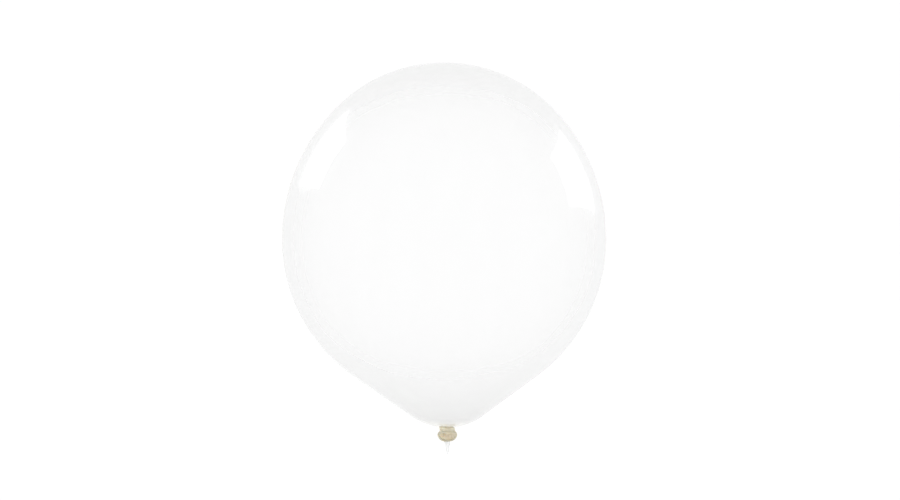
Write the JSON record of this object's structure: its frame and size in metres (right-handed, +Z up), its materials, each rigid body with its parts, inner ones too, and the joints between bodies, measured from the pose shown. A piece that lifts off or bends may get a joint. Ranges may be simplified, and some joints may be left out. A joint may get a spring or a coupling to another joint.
{
  "type": "latex balloon",
  "caption": "Clear round latex balloon, blown up and tied: thin film envelope, gathered neck, amber knot, flared mouth with rolled lip and a thin hanging tip",
  "frame": {"origin": "middle of the pinched waist between balloon and knot, where a ribbon is tied", "axes": "+Z up along the neck towards the balloon's crown, the mouth faces -Y, +X to the right of a viewer in front"},
  "size_m": [0.2999, 0.3, 0.3623],
  "materials": {
    "film": "stretched clear latex film, glossy",
    "neck": "half-stretched latex in fine pleats, glossy",
    "knot": "unstretched natural latex, satin, slightly see-through",
    "mouth": "unstretched natural latex, satin, slightly see-through",
    "lip": "rolled natural latex bead, satin",
    "tip": "thin pale latex, satin"
  },
  "bodies": {
    "balloon": {"envelope": "film", "neck_gather": "neck"},
    "neck": {"neck_waist": "knot"},
    "knot": {"knot_wrap": "knot", "knot_core": "knot"},
    "tail": {"mouth_skirt": "mouth", "lip_bead": "lip", "tail_tip": "tip"}
  },
  "joints": [
    {"name": "knot_swing", "type": "hinge", "parent": "balloon", "child": "neck", "pos_m": [0, 0, 0.0013], "axis": [0, 1, 0], "range_deg": [-15, 15], "stiffness_Nm_per_rad": 0.001, "deforming": ["neck_gather"]},
    {"name": "knot_nod", "type": "hinge", "parent": "neck", "child": "knot", "pos_m": [0, 0, -0.0013], "axis": [1, 0, 0], "range_deg": [-15, 15], "stiffness_Nm_per_rad": 0.001},
    {"name": "tail_flop", "type": "hinge", "parent": "knot", "child": "tail", "pos_m": [0, 0, -0.0079], "axis": [1, 0, 0], "range_deg": [0, 30], "stiffness_Nm_per_rad": 0.0005}
  ]
}
